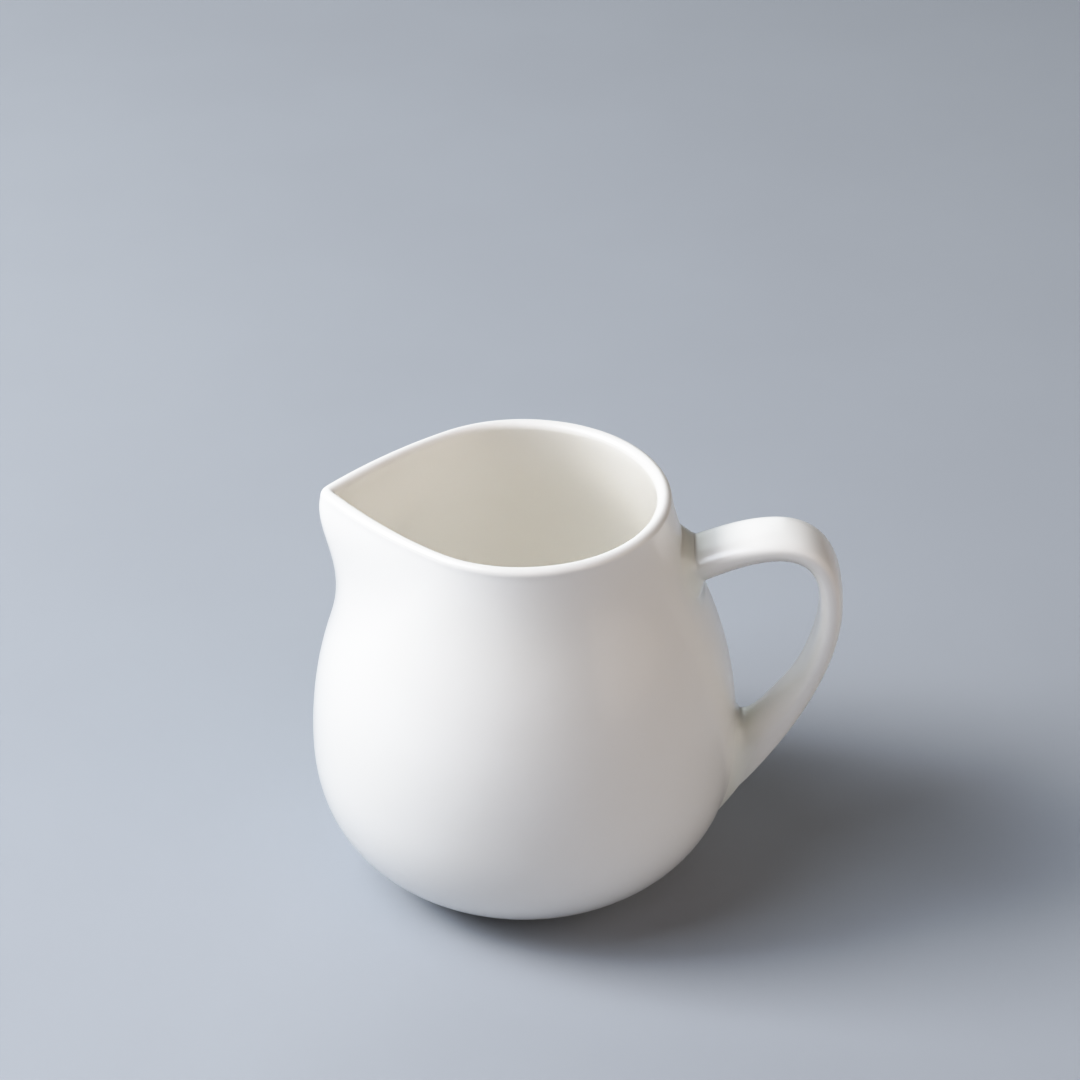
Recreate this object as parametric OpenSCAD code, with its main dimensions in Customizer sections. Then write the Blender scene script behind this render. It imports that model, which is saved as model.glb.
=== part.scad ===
// Porcelain cream jug: a pot-bellied body with a pulled spout and a standing foot ring,
// a strap handle luted on with slip at two roots, and the glaze coats that cover them.
// Millimetres. The origin is the centre of the foot's standing ring. The handle is on +X,
// the spout on -X and +Z is up. All outside sizes are finished sizes, over the glaze.

/* [Overall] */
// Height from the table to the crest of the lip
height = 70; // [56:1:100]
// Diameter across the belly
belly_d = 70; // [58:1:90]

/* [Body] */
// Height of the widest point above the table
belly_z = 24; // [18:1:30]
// Diameter across the mouth circle, outside the lip
rim_d = 47.2; // [38:0.2:56]
// Diameter where the belly runs in to the foot
foot_d = 42; // [34:0.5:50]
// Height at which the belly leaves the foot
foot_h = 1.2; // [0.8:0.1:2]
// Slope of the belly as it leaves the foot, in degrees above level
foot_slope = 25; // [15:1:40]
// Pull of the outline at the foot, towards a fuller underside
foot_pull = 10.5; // [6:0.5:14]
// Pull of the outline below the widest point
belly_pull_low = 10.7; // [6:0.1:14]
// Pull of the outline above the widest point
belly_pull_high = 22; // [12:1:26]
// Pull of the outline below the mouth
rim_pull = 15.5; // [8:0.5:20]
// Inward lean of the wall at the mouth, in degrees
rim_lean = 10; // [0:1:25]
// Thickness of the fired clay wall in the belly
wall_t = 2.4; // [1.8:0.1:3.2]
// Thickness of the fired clay wall at the lip
lip_t = 2; // [1.4:0.1:2.6]
// Thickness of the fired clay lip beside the spout, where it has been stretched
lip_side_t = 1.6; // [1.2:0.1:2.6]
// Thickness of every glaze coat
glaze_t = 0.2; // [0.12:0.02:0.3]

/* [Foot ring] */
// Step inwards from the belly to the standing ring, left bare of glaze
foot_step = 0.6; // [0.4:0.1:1.2]
// Width of the standing ring
foot_w = 2.6; // [1.8:0.1:4]
// Rounding of the ring's lower edges
foot_round = 0.5; // [0.2:0.1:0.8]

/* [Spout] */
// Reach of the spout's tip beyond the mouth circle
spout_out = 8.9; // [5:0.1:12]
// Depth of the spout's root below the crest of the lip
spout_depth = 26; // [18:1:30]
// Radius of the pouring edge inside the tip
tip_inside_r = 0.4; // [0.3:0.1:1.5]
// Radius of the full sides that run from the mouth circle to the tip
spout_side_r = 88; // [70:1:160]
// Pull of the spout's nose where it leaves the belly
nose_pull_low = 15; // [8:1:16]
// Pull of the spout's nose below the tip
nose_pull_high = 7; // [4:0.5:9]
// Curl of the nose at the lip, in degrees back towards upright
nose_curl = 13; // [0:1:20]

/* [Handle] */
// Width of the strap
handle_w = 10.4; // [8:0.2:13]
// Thickness of the strap at the upper root
handle_t_top = 4.4; // [3.2:0.1:5.4]
// Thickness of the strap at the lower root
handle_t_low = 3.2; // [2.6:0.1:4.4]
// Reach of the strap's middle line beyond the belly
handle_out = 14.6; // [11:0.1:20]
// Depth of the strap's outermost point below the crest of the lip
handle_bow_depth = 20.6; // [18:0.2:24]
// Depth of the upper root below the crest of the lip
upper_root_depth = 12.2; // [11:0.2:15]
// Height of the lower root above the table
lower_root_z = 15; // [13:0.5:18]
// Tilt of the strap at the upper root, in degrees above square to the wall
upper_tilt = 2; // [-10:1:12]
// Lean of the strap away from the wall at the lower root, in degrees
lower_lean = 20; // [16:1:32]
// Extra depth of the web inside the strap at the upper root
upper_web = 0.8; // [0:0.1:2]
// Extra depth of the web inside the strap at the lower root
lower_web = 7.8; // [0:0.1:9]
// Pull of the strap's middle line out of the upper root
upper_root_pull = 10; // [7:0.5:13]
// Pull of the strap's middle line above its outermost point
bow_pull_high = 17; // [12:0.5:19]
// Pull of the strap's middle line below its outermost point
bow_pull_low = 10.5; // [7:0.5:14]
// Pull of the strap's middle line out of the lower root
lower_root_pull = 9; // [6:0.5:12]

/* [Slip joints] */
// Length of slip between the wall and the strap's end
joint_len = 1.6; // [1.2:0.1:2.2]
// Spread of the slip around the strap on the wall
joint_flare = 2; // [1.2:0.1:2.6]

/* [Hidden] */

porcelain = "WhiteSmoke";
slip = "Gainsboro";
glaze = "White";

// Steps of the outlines and the grids
curve_steps = 24;      // steps of each outline curve
low_rows = 4;          // rows from the foot to the lower root
low_bunching = 1.5;    // how much those rows close up towards the foot
mid_rows = 6;          // rows between the two roots
top_rows = 2;          // rows from the upper root to the lip
root_rows = 2;         // rows from the middle of a root to its edge
root_cols = 3;         // columns from the middle of a root to its edge
side_cols = 26;        // columns from the edge of the roots to the spout's tip
side_bunching = 1.3;   // how much the columns close up towards the tip
lip_steps = 2;         // steps from the wall to the lip's crest, on each side
strap_steps = 11;      // steps of each half of the strap
web_steps = 7;         // steps of the strap over which its web deepens
joint_stations = [0.4, 0.75];  // where the slip's fillet has rings, from strap to wall
slip_fullness = 0.7;   // how far from the wall the slip bends, as a share of its length
corner_power = 2.8;    // squareness of the strap's section and of the roots
stretch_from = 75;     // angle from the handle at which the lip starts to thin
stretch_to = 172;      // angle from the handle at which it is full again
stretch_ease = 40;     // angle over which it thins
probe = 0.05;          // small step for finding the slope of a surface
foot_embed = 0.6;      // how far the standing ring runs up into the floor
fine = 96;

belly_r = belly_d / 2;
rim_r = rim_d / 2;
foot_r = foot_d / 2;
lip_r = lip_t / 2 + glaze_t;
rim_z = height - lip_r;
spout_root_z = height - spout_depth;
tip_reach = rim_r + spout_out;
tip_r = tip_inside_r + 2 * lip_r;
upper_root_z = height - upper_root_depth;
bow_z = height - handle_bow_depth;

// ---- Small geometry helpers ----
function unit(v) = v / norm(v);
function clamp01(x) = min(max(x, 0), 1);
function ease(x) = let (c = clamp01(x)) c * c * (3 - 2 * c);
function heading(a) = [cos(a), sin(a)];
function bezier(p, t) =
    pow(1 - t, 3) * p[0] + 3 * pow(1 - t, 2) * t * p[1]
    + 3 * (1 - t) * t * t * p[2] + pow(t, 3) * p[3];
function steps(a, b, n) = [for (k = [0:n - 1]) a + (b - a) * k / n];
function flip(list) = [for (k = [len(list) - 1:-1:0]) list[k]];
// A square's point drawn in to a rounded square, with the middle left in place
function round_in(u, v) =
    let (m = max(abs(u), abs(v)))
    m == 0 ? [0, 0]
    : [u, v] * m / pow(pow(abs(u), corner_power) + pow(abs(v), corner_power), 1 / corner_power);

// ---- Outline of the turned pot, as radius over height ----
low_curve = [[foot_r, foot_h], [foot_r, foot_h] + foot_pull * heading(foot_slope),
             [belly_r, belly_z - belly_pull_low], [belly_r, belly_z]];
high_curve = [[belly_r, belly_z], [belly_r, belly_z + belly_pull_high],
              [rim_r, rim_z] - rim_pull * heading(90 + rim_lean), [rim_r, rim_z]];
outline = [for (c = [low_curve, high_curve], k = [0:curve_steps])
              if (k > 0 || c == low_curve) let (p = bezier(c, k / curve_steps)) [p[1], p[0]]];
function pot_r(z) = lookup(z, outline);
function pot_slope(z) = (pot_r(z + probe) - pot_r(z - probe)) / (2 * probe);

// ---- Nose of the spout: it leaves the pot's outline smoothly and ends at the tip ----
nose_start = [pot_r(spout_root_z), spout_root_z];
nose_curve = [nose_start,
              nose_start + nose_pull_low * unit([pot_slope(spout_root_z), 1]),
              [tip_reach, rim_z] - nose_pull_high * heading(90 + nose_curl),
              [tip_reach, rim_z]];
nose = [for (k = [0:curve_steps]) let (p = bezier(nose_curve, k / curve_steps)) [p[1], p[0]]];
function nose_r(z) = z <= spout_root_z ? pot_r(z) : max(lookup(z, nose), pot_r(z));
function nose_round(z) =
    let (u = clamp01((z - spout_root_z) / (rim_z - spout_root_z)))
    pot_r(z) * (1 - u) + tip_r * u;

// ---- Plan of one level: mouth circle, full sides and rounded tip, each tangent to the next.
// Polar radius at an angle from the spout, for a circle a, a reach and a tip radius b.
function plan_r(angle, a, reach, b) =
    reach - a < 0.001 ? a
    : let (c = reach - b,
           to_circle = spout_side_r - a,
           to_tip = spout_side_r - b,
           mx = (to_circle * to_circle + c * c - to_tip * to_tip) / (2 * c),
           my = sqrt(max(to_circle * to_circle - mx * mx, 0)),
           circle_from = atan2(my, -mx),
           tip_to = atan2(b * my / to_tip, c + b * (c - mx) / to_tip))
      angle < tip_to ? c * cos(angle) + sqrt(max(b * b - pow(c * sin(angle), 2), 0))
      : angle < circle_from
        ? let (q = mx * cos(angle) - my * sin(angle))
          q + sqrt(q * q - to_circle * to_circle + spout_side_r * spout_side_r)
      : a;

// ---- Finished outside surface of the body, and its outward normal ----
function finished(theta, z) =
    let (r = plan_r(abs(180 - abs(theta)), pot_r(z), nose_r(z), nose_round(z)))
    [r * cos(theta), r * sin(theta), z];
function normal_at(theta, z) =
    let (zc = min(max(z, foot_h + probe), rim_z - probe))
    unit(cross(finished(theta + probe, zc) - finished(theta - probe, zc),
               finished(theta, zc + probe) - finished(theta, zc - probe)));
function level(v) = unit([v[0], v[1], 0]);
// The surface set in by a depth; at the lip the inset is level, so that the lip stands upright
function inset(theta, z, depth) =
    let (n = normal_at(theta, z))
    finished(theta, z) - depth * (z >= rim_z ? level(n) : n);
// Share of the stretching, which thins the lip on both sides between the mouth and the tip
function stretched(theta) =
    ease((abs(theta) - stretch_from) / stretch_ease)
    * ease((stretch_to - abs(theta)) / stretch_ease);
function lip_half(theta) = glaze_t + (lip_t + (lip_side_t - lip_t) * stretched(theta)) / 2;
function wall_at(theta, z) =
    wall_t + (2 * (lip_half(theta) - glaze_t) - wall_t) * ease((z - belly_z) / (rim_z - belly_z));

// ---- Handle: middle line in the XZ plane, from the upper root round the bow to the lower ----
function root_foot(z) = let (p = inset(0, z, glaze_t)) [p[0], p[2]];
function root_out(z) = let (n = normal_at(0, z)) unit([n[0], n[2]]);
function root_up(z) = let (n = root_out(z)) [-n[1], n[0]];
function root_start(z, way) = root_foot(z) + way * joint_len / (way * root_out(z));
function swing(v, angle) = [v[0] * cos(angle) - v[1] * sin(angle),
                            v[0] * sin(angle) + v[1] * cos(angle)];
upper_way = swing(root_out(upper_root_z), upper_tilt);
lower_way = swing(root_up(lower_root_z), -lower_lean);
bow = [belly_r + handle_out, bow_z];
upper_end = root_start(upper_root_z, upper_way);
lower_end = root_start(lower_root_z, lower_way);
over_curve = [upper_end, upper_end + upper_root_pull * upper_way,
              bow + [0, bow_pull_high], bow];
under_curve = [bow, bow - [0, bow_pull_low],
               lower_end + lower_root_pull * lower_way, lower_end];
strap_line = [for (c = [over_curve, under_curve], k = [0:strap_steps])
                 if (k > 0 || c == over_curve) bezier(c, k / strap_steps)];
strap_last = len(strap_line) - 1;
// Direction of the middle line and its outward side; the ends keep the roots' directions
function strap_way(k) =
    k == 0 ? upper_way : k == strap_last ? -lower_way
    : unit(strap_line[k + 1] - strap_line[k - 1]);
function strap_side(k) = let (d = strap_way(k)) [-d[1], d[0]];
// Near a root the strap's section turns until it is parallel with the wall
root_share = 0.22;     // share of the strap's length over which its section turns
function strap_axis(k) =
    let (s = k / strap_last,
         top = ease(1 - s / root_share),
         low = ease((s - 1 + root_share) / root_share))
    unit((1 - top - low) * strap_side(k) + top * root_up(upper_root_z)
         - low * root_up(lower_root_z));
function strap_half(k) =
    let (t = handle_t_top + (handle_t_low - handle_t_top) * k / strap_last)
    (t / 2 - glaze_t) / (strap_axis(k) * strap_side(k));
// The strap deepens towards each root on its inner side, as a web. At the lower root the inner
// edge leaves the strap along a curve of its own, so that the rings fan out without crossing
function plain_edge(k) =
    strap_line[k]
    - strap_axis(k) * (strap_half(k) + upper_web * pow(clamp01(1 - k / web_steps), 2));
web_from = strap_last - web_steps;
edge_end = strap_line[strap_last]
           - strap_axis(strap_last) * (strap_half(strap_last) + lower_web);
edge_third = (edge_end - plain_edge(web_from)) / 3;
edge_curve = [plain_edge(web_from), plain_edge(web_from) + strap_way(web_from) * norm(edge_third),
              edge_end - edge_third, edge_end];
function inner_edge(k) = k < web_from ? plain_edge(k)
                         : bezier(edge_curve, (k - web_from) / web_steps);
function strap_point(k, u, v) =
    let (q = round_in(u, v),
         reach = v < 0 ? strap_line[k] - inner_edge(k) : strap_axis(k) * strap_half(k),
         c = strap_line[k] + reach * q[1])
    [c[0], (handle_w / 2 - glaze_t) * q[0], c[1]];

// ---- Grid of the body: rows and columns that frame the two roots ----
// A root is [height of its middle, reach below it, reach above it]
upper_reach = strap_half(0) + glaze_t + joint_flare;
lower_reach = strap_half(strap_last) + glaze_t + joint_flare;
upper_root_area = [upper_root_z, upper_reach + upper_web, upper_reach];
lower_root_area = [lower_root_z, lower_reach, lower_reach + lower_web];
function angle_across(z) = asin((handle_w / 2 + joint_flare) / pot_r(z));
root_angle = angle_across(upper_root_z);
function root_bottom(area) = area[0] - area[1];
function root_top(area) = area[0] + area[2];
function root_levels(area) =
    concat(steps(root_bottom(area), area[0], root_rows), steps(area[0], root_top(area), root_rows));
rows = concat(
    [for (k = [0:low_rows - 1])
        foot_h + (root_bottom(lower_root_area) - foot_h) * pow(k / low_rows, low_bunching)],
    root_levels(lower_root_area),
    steps(root_top(lower_root_area), root_bottom(upper_root_area), mid_rows),
    root_levels(upper_root_area),
    steps(root_top(upper_root_area), rim_z, top_rows),
    [rim_z]);
last_row = len(rows) - 1;
lower_mid = low_rows + root_rows;
upper_mid = lower_mid + root_rows + mid_rows + root_rows;
half_cols = root_cols + side_cols;
cols = 2 * half_cols;
function side_angle(j) =
    j <= root_cols ? root_angle * j / root_cols
    : 180 - (180 - root_angle) * pow((half_cols - j) / side_cols, side_bunching);
function signed_col(j) = j <= half_cols ? j : j - cols;
function near_root(i, j, mid) = abs(i - mid) <= root_rows && abs(signed_col(j)) <= root_cols;
function root_node(i, j, mid, area) =
    let (q = round_in(signed_col(j) / root_cols, (i - mid) / root_rows))
    [angle_across(area[0]) * q[0], area[0] + q[1] * (q[1] < 0 ? area[1] : area[2])];
function grid_node(i, j) =
    near_root(i, j, upper_mid) ? root_node(i, j, upper_mid, upper_root_area)
    : near_root(i, j, lower_mid) ? root_node(i, j, lower_mid, lower_root_area)
    : [sign(signed_col(j)) * side_angle(abs(signed_col(j))), rows[i]];

// ---- Four surfaces, each a list of rings from the foot up to the lip's crest ----
function wall_ring(i, depth, clay) =
    [for (j = [0:cols - 1])
        let (g = grid_node(i, j))
        inset(g[0], g[1], depth + (clay ? wall_at(g[0], g[1]) : 0))];
// A ring on the rounded lip, set in by a depth: angle 0 is the outside, 90 the crest and 180
// the inside
function lip_ring(set_in, angle) =
    [for (j = [0:cols - 1])
        let (g = grid_node(last_row, j),
             n = level(normal_at(g[0], rim_z)),
             half = lip_half(g[0]))
        finished(g[0], rim_z) + n * ((half - set_in) * cos(angle) - half)
        + [0, 0, (lip_r - set_in) * sin(angle)]];
function skin_rings(depth, clay, set_in, angle) =
    concat([for (i = [0:last_row]) wall_ring(i, depth, clay)],
           [for (k = [1:lip_steps])
               lip_ring(set_in, angle + (90 - angle) * k / lip_steps)]);
outside_finished = skin_rings(0, false, 0, 0);
outside_clay = skin_rings(glaze_t, false, glaze_t, 0);
inside_clay = skin_rings(glaze_t, true, glaze_t, 180);
inside_finished = skin_rings(2 * glaze_t, true, 0, 180);

underside_z = outside_clay[0][0][2];
floor_sink = 0.3;      // how much lower the inside floor is in its middle
ring_out_r = foot_r - foot_step;
ring_in_r = ring_out_r - foot_w;

// ---- Faces of a skin made of rings, all split along the same diagonal of each cell.
// up: rings from the foot to the top; down: rings of the facing surface, also from the foot.
function cell(a, b, c, d, down) = down ? [[a, d, b], [d, c, b]] : [[a, d, c], [a, c, b]];
function band(lower, upper, n, down = false, skip = []) =
    [for (c = [0:n - 1])
        if (len(search(c, skip)) == 0)
            for (t = cell(lower * n + c, lower * n + (c + 1) % n,
                          upper * n + (c + 1) % n, upper * n + c, down)) t];
function flat(lists) = [for (l = lists, p = l) p];

// A cup-shaped or rod-shaped solid: rings along a path, closed to a point at each end
module closed_skin(up, down, start, finish) {
    n = len(up[0]);
    path = concat(up, flip(down));
    first = len(path) * n;
    polyhedron(
        points = concat(flat(path), [start, finish]),
        faces = concat(
            flat([for (r = [0:len(path) - 2]) band(r, r + 1, n, r >= len(up) - 1)]),
            [for (c = [0:n - 1]) [first, c, (c + 1) % n]],
            [for (c = [0:n - 1])
                [(len(path) - 1) * n + c, first + 1, (len(path) - 1) * n + (c + 1) % n]]),
        convexity = 6);
}

// ---- Roots on the body's grid: the order round a root's edge is the order round the strap ----
root_edge = concat(
    [for (a = [-root_cols:root_cols - 1]) [a, -root_rows]],
    [for (b = [-root_rows:root_rows - 1]) [root_cols, b]],
    [for (a = [root_cols:-1:-root_cols + 1]) [a, root_rows]],
    [for (b = [root_rows:-1:-root_rows + 1]) [-root_cols, b]]);
around = len(root_edge);
function col_of(a) = (a + cols) % cols;
function root_ring(rings, mid, turn) =
    [for (e = root_edge) rings[mid + turn * e[1]][col_of(e[0])]];
function strap_ring(k, turn = 1) =
    [for (e = root_edge) strap_point(k, e[0] / root_cols, turn * e[1] / root_rows)];
// The slip runs off the strap's end towards the wall and then out along it
function slip_ring(strap, root, middle, out, t) =
    let (ratio = handle_w / (handle_w + 2 * joint_flare))
    [for (k = [0:around - 1])
        let (under = middle + (root[k] - middle) * ratio + out * joint_len * slip_fullness)
        (1 - t) * (1 - t) * strap[k] + 2 * t * (1 - t) * under + t * t * root[k]];
function slip_rings(strap, mid, turn) =
    let (root = root_ring(outside_clay, mid, turn),
         middle = outside_clay[mid][0],
         out = normal_at(0, middle[2]))
    [for (t = joint_stations) slip_ring(strap, root, middle, out, t)];

upper_root = root_ring(outside_clay, upper_mid, 1);
lower_root = root_ring(outside_clay, lower_mid, -1);
upper_slip = slip_rings(strap_ring(0), upper_mid, 1);
lower_slip = slip_rings(strap_ring(strap_last), lower_mid, -1);
strap_rings = [for (k = [0:strap_last]) strap_ring(k)];
function strap_middle(k) = [strap_line[k][0], 0, strap_line[k][1]];

// ---- The sub-parts ----
// Turned standing ring, with its lower edges rounded
module standing_ring() {
    arc = [for (a = [0:15:90]) foot_round * [cos(a), sin(a)]];
    top = underside_z + foot_embed;
    rotate_extrude($fn = fine)
        polygon(concat(
            [for (p = arc) [ring_out_r - foot_round + p[0], foot_round - p[1]]],
            [for (p = flip(arc)) [ring_in_r + foot_round - p[0], foot_round - p[1]]],
            [[ring_in_r, top], [ring_out_r, top]]));
}

// Fired clay body: pot, spout, rolled lip and standing ring in one piece
module body() {
    inside_wall = [for (k = [0:len(inside_clay) - 2]) inside_clay[k]];
    color(porcelain) union() {
        closed_skin(outside_clay, inside_wall, [0, 0, underside_z],
                    [0, 0, inside_clay[0][0][2] - floor_sink]);
        standing_ring();
    }
}

// Strap handle, cast on its own and cut to the body's slope at both ends
module handle() {
    color(porcelain)
        closed_skin(strap_rings, [], strap_middle(0), strap_middle(strap_last));
}

// Slip that lutes one end of the strap to the wall; its back is the wall's own surface
module slip_joint(strap, rings, middle, mid) {
    wide = 2 * root_cols + 1;
    tall = 2 * root_rows + 1;
    patch = [for (b = [-root_rows:root_rows], a = [-root_cols:root_cols])
                outside_clay[mid + b][col_of(a)]];
    edge = [for (e = root_edge) (e[1] + root_rows) * wide + e[0] + root_cols];
    sides = flat(concat(rings, [strap]));
    first = wide * tall;
    tip = first + len(sides);
    color(slip) polyhedron(
        points = concat(patch, sides, [middle]),
        faces = concat(
            [for (b = [0:tall - 2], a = [0:wide - 2])
                let (p = b * wide + a)
                for (t = [[p, p + wide + 1, p + wide], [p, p + 1, p + wide + 1]]) t],
            [for (c = [0:around - 1])
                let (d = (c + 1) % around)
                for (t = cell(edge[c], edge[d], first + d, first + c, false)) t],
            [for (r = [0:len(rings) - 1], c = [0:around - 1])
                let (d = (c + 1) % around, s = first + r * around)
                for (t = cell(s + c, s + d, s + around + d, s + around + c, false)) t],
            [for (c = [0:around - 1])
                [tip - around + c, tip, tip - around + (c + 1) % around]]),
        convexity = 4);
}

module upper_handle_joint() {
    slip_joint(strap_ring(0), flip(upper_slip), strap_middle(0), upper_mid);
}

module lower_handle_joint() {
    turned = strap_ring(strap_last, -1);
    slip_joint(turned, flip(slip_rings(turned, lower_mid, 1)), strap_middle(strap_last),
               lower_mid);
}

// Glaze over the outside, from the belly's foot to the lip's crest, open at the two roots
module outer_glaze() {
    n_rings = len(outside_finished);
    roots = [upper_mid, lower_mid];
    function open_cols(r) =
        len([for (m = roots) if (r >= m - root_rows && r < m + root_rows) m]) > 0
        ? concat([for (c = [0:root_cols - 1]) c], [for (c = [cols - root_cols:cols - 1]) c])
        : [];
    function at(mid, e) = (mid + e[1]) * cols + col_of(e[0]);
    clay = n_rings * cols;
    color(glaze) polyhedron(
        points = concat(flat(outside_finished), flat(outside_clay)),
        faces = concat(
            flat([for (r = [0:n_rings - 2]) band(r, r + 1, cols, false, open_cols(r))]),
            flat([for (r = [0:n_rings - 2])
                band(n_rings + r + 1, n_rings + r, cols, true, open_cols(r))]),
            band(n_rings - 1, 2 * n_rings - 1, cols),
            band(n_rings, 0, cols),
            [for (m = roots, k = [0:around - 1])
                let (p = at(m, root_edge[k]), q = at(m, root_edge[(k + 1) % around]))
                for (t = [[p, clay + p, clay + q], [p, clay + q, q]]) t]),
        convexity = 8);
}

// Glaze over the inside, from the lip's crest to the floor
module inner_glaze() {
    color(glaze)
        closed_skin(inside_clay, inside_finished,
                    [0, 0, inside_clay[0][0][2] - floor_sink],
                    [0, 0, inside_finished[0][0][2] - floor_sink]);
}

// Glaze over the strap and both slip joints, meeting the body's glaze at the roots' edges
module handle_glaze() {
    clay = concat([upper_root], flip(upper_slip), strap_rings, lower_slip, [lower_root]);
    last = len(clay) - 1;
    function coat(r, c) =
        let (next = clay[r][(c + 1) % around], before = clay[r][(c + around - 1) % around])
        clay[r][c] + glaze_t * unit(cross(next - before, clay[r + 1][c] - clay[r - 1][c]));
    coated = concat(
        [root_ring(outside_finished, upper_mid, 1)],
        [for (r = [1:last - 1]) [for (c = [0:around - 1]) coat(r, c)]],
        [root_ring(outside_finished, lower_mid, -1)]);
    path = concat(coated, flip(clay));
    color(glaze) polyhedron(
        points = flat(path),
        faces = flat([for (r = [0:len(path) - 1])
            band(r, (r + 1) % len(path), around, r > last)]),
        convexity = 6);
}

// Glaze in the recess under the floor, inside the standing ring
module underside_glaze() {
    color(glaze) translate([0, 0, underside_z - glaze_t])
        cylinder(r = ring_in_r, h = glaze_t, $fn = fine);
}

body();
handle();
upper_handle_joint();
lower_handle_joint();
outer_glaze();
inner_glaze();
handle_glaze();
underside_glaze();
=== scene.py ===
# %% [markdown]
# # A porcelain cream jug
# A small pot-bellied jug, thrown or cast in white clay, with a spout pulled out of its mouth and
# a strap handle stuck on with slip. Everything but the ring it stands on is covered with a clear
# glossy glaze. The lesson builds the jug the way a pottery does: the pot's outline first, then
# the spout, the wall, the handle, the slip that lutes it on, and last the glaze over all of it.
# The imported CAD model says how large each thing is, and the finer meshes here keep to it within
# a tenth of a millimetre.

# %% Load the frame
import math
import bpy
import bmesh
import numpy as np
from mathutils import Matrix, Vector


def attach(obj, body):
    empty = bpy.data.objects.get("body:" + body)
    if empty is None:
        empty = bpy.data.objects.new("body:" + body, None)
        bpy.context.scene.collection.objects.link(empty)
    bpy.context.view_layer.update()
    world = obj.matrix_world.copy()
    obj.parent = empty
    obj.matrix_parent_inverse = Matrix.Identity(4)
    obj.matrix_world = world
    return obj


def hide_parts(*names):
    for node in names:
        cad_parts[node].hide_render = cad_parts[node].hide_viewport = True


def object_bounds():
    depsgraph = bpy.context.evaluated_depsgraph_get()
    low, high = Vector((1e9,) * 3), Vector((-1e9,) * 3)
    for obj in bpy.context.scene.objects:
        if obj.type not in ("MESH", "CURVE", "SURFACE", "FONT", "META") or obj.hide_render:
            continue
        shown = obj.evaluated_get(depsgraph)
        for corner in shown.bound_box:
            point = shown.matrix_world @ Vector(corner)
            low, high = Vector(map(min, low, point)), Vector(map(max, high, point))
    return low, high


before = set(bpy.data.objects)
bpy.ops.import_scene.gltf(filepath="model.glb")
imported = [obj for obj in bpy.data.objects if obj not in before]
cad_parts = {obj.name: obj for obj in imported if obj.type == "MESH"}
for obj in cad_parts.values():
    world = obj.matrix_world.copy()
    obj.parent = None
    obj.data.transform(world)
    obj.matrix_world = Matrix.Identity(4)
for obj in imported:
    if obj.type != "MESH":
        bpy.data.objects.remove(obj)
cad_low, cad_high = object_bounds()
MM = 0.001
size_mm = [(high - low) / MM for low, high in zip(cad_low, cad_high)]
print(len(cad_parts), "CAD nodes in a box in mm:", [round(s, 2) for s in size_mm])

# %% [markdown]
# ## The outline of the pot
# A turned pot is one curve spun round an axis. The curve has two halves that meet at the widest
# point of the belly, each a Bezier curve with named pulls, as a potter thinks of "fuller below"
# or "straighter above". The height comes from the CAD model's box. The other sizes are the CAD
# model's own, in millimetres over the glaze, so that both models have the same outline.

# %% Sizes of the pot, in millimetres
height = cad_high[2] / MM
belly_r = 35
belly_z = 24
rim_r = 23.6
foot_r = 21
foot_h = 1.2
foot_slope = 25
foot_pull = 10.5
belly_pull_low = 10.7
belly_pull_high = 22
rim_pull = 15.5
rim_lean = 10
wall_t = 2.4
lip_t = 2
glaze_t = 0.2
lip_r = lip_t / 2 + glaze_t
rim_z = height - lip_r
print("height", round(height, 2), "belly radius", round(belly_r, 2))


# %% Helpers for curves
def heading(angle):
    """The unit vector at an angle in degrees from level."""
    return np.array([math.cos(math.radians(angle)), math.sin(math.radians(angle))])


def unit(v):
    return v / np.linalg.norm(v, axis=-1, keepdims=True)


def ease(x):
    """A smooth step from 0 to 1."""
    c = np.clip(x, 0, 1)
    return c * c * (3 - 2 * c)


def bezier(points, t):
    """Points of the Bezier curve with four control points, at the shares t of its length."""
    a, b, c, d = (np.asarray(p, float) for p in points)
    t = np.asarray(t, float)[..., None]
    return (1 - t) ** 3 * a + 3 * (1 - t) ** 2 * t * b + 3 * (1 - t) * t * t * c + t ** 3 * d


print("a quarter of the way along a curve:", bezier([(0, 0), (0, 1), (1, 1), (1, 0)], 0.25))

# %% The pot's radius at a height
curve_steps = 400
along = np.linspace(0, 1, curve_steps + 1)
foot_point = np.array([foot_r, foot_h])
belly_point = np.array([belly_r, belly_z])
rim_point = np.array([rim_r, rim_z])
low_curve = bezier([foot_point, foot_point + foot_pull * heading(foot_slope),
                    [belly_r, belly_z - belly_pull_low], belly_point], along)
high_curve = bezier([belly_point, [belly_r, belly_z + belly_pull_high],
                     rim_point - rim_pull * heading(90 + rim_lean), rim_point], along)
outline = np.vstack([low_curve, high_curve[1:]])


def pot_r(z):
    return np.interp(z, outline[:, 1], outline[:, 0])


print("widest", round(float(pot_r(belly_z)), 2), "neck at the mouth", round(float(pot_r(rim_z)), 2))

# %% [markdown]
# ## The spout
# The spout is pulled out of the round mouth with a wet finger, so it isn't a piece: it is the
# same wall, led outwards. Seen from above, each level is a circle that runs through two full
# sides into a small rounded tip, and every arc touches the next without a corner. How far the
# tip reaches at each height is one more curve, the spout's nose.

# %% Sizes of the spout
spout_root_z = height - 26
tip_reach = rim_r + 8.9
tip_r = 0.4 + 2 * lip_r
spout_side_r = 88
nose_pull_low = 15
nose_pull_high = 7
nose_curl = 13
probe = 0.05

root_slope = float(pot_r(spout_root_z + probe) - pot_r(spout_root_z - probe)) / (2 * probe)
nose_start = np.array([float(pot_r(spout_root_z)), spout_root_z])
nose_end = np.array([tip_reach, rim_z])
nose = bezier([nose_start, nose_start + nose_pull_low * unit(np.array([root_slope, 1.0])),
               nose_end - nose_pull_high * heading(90 + nose_curl), nose_end], along)


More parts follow.
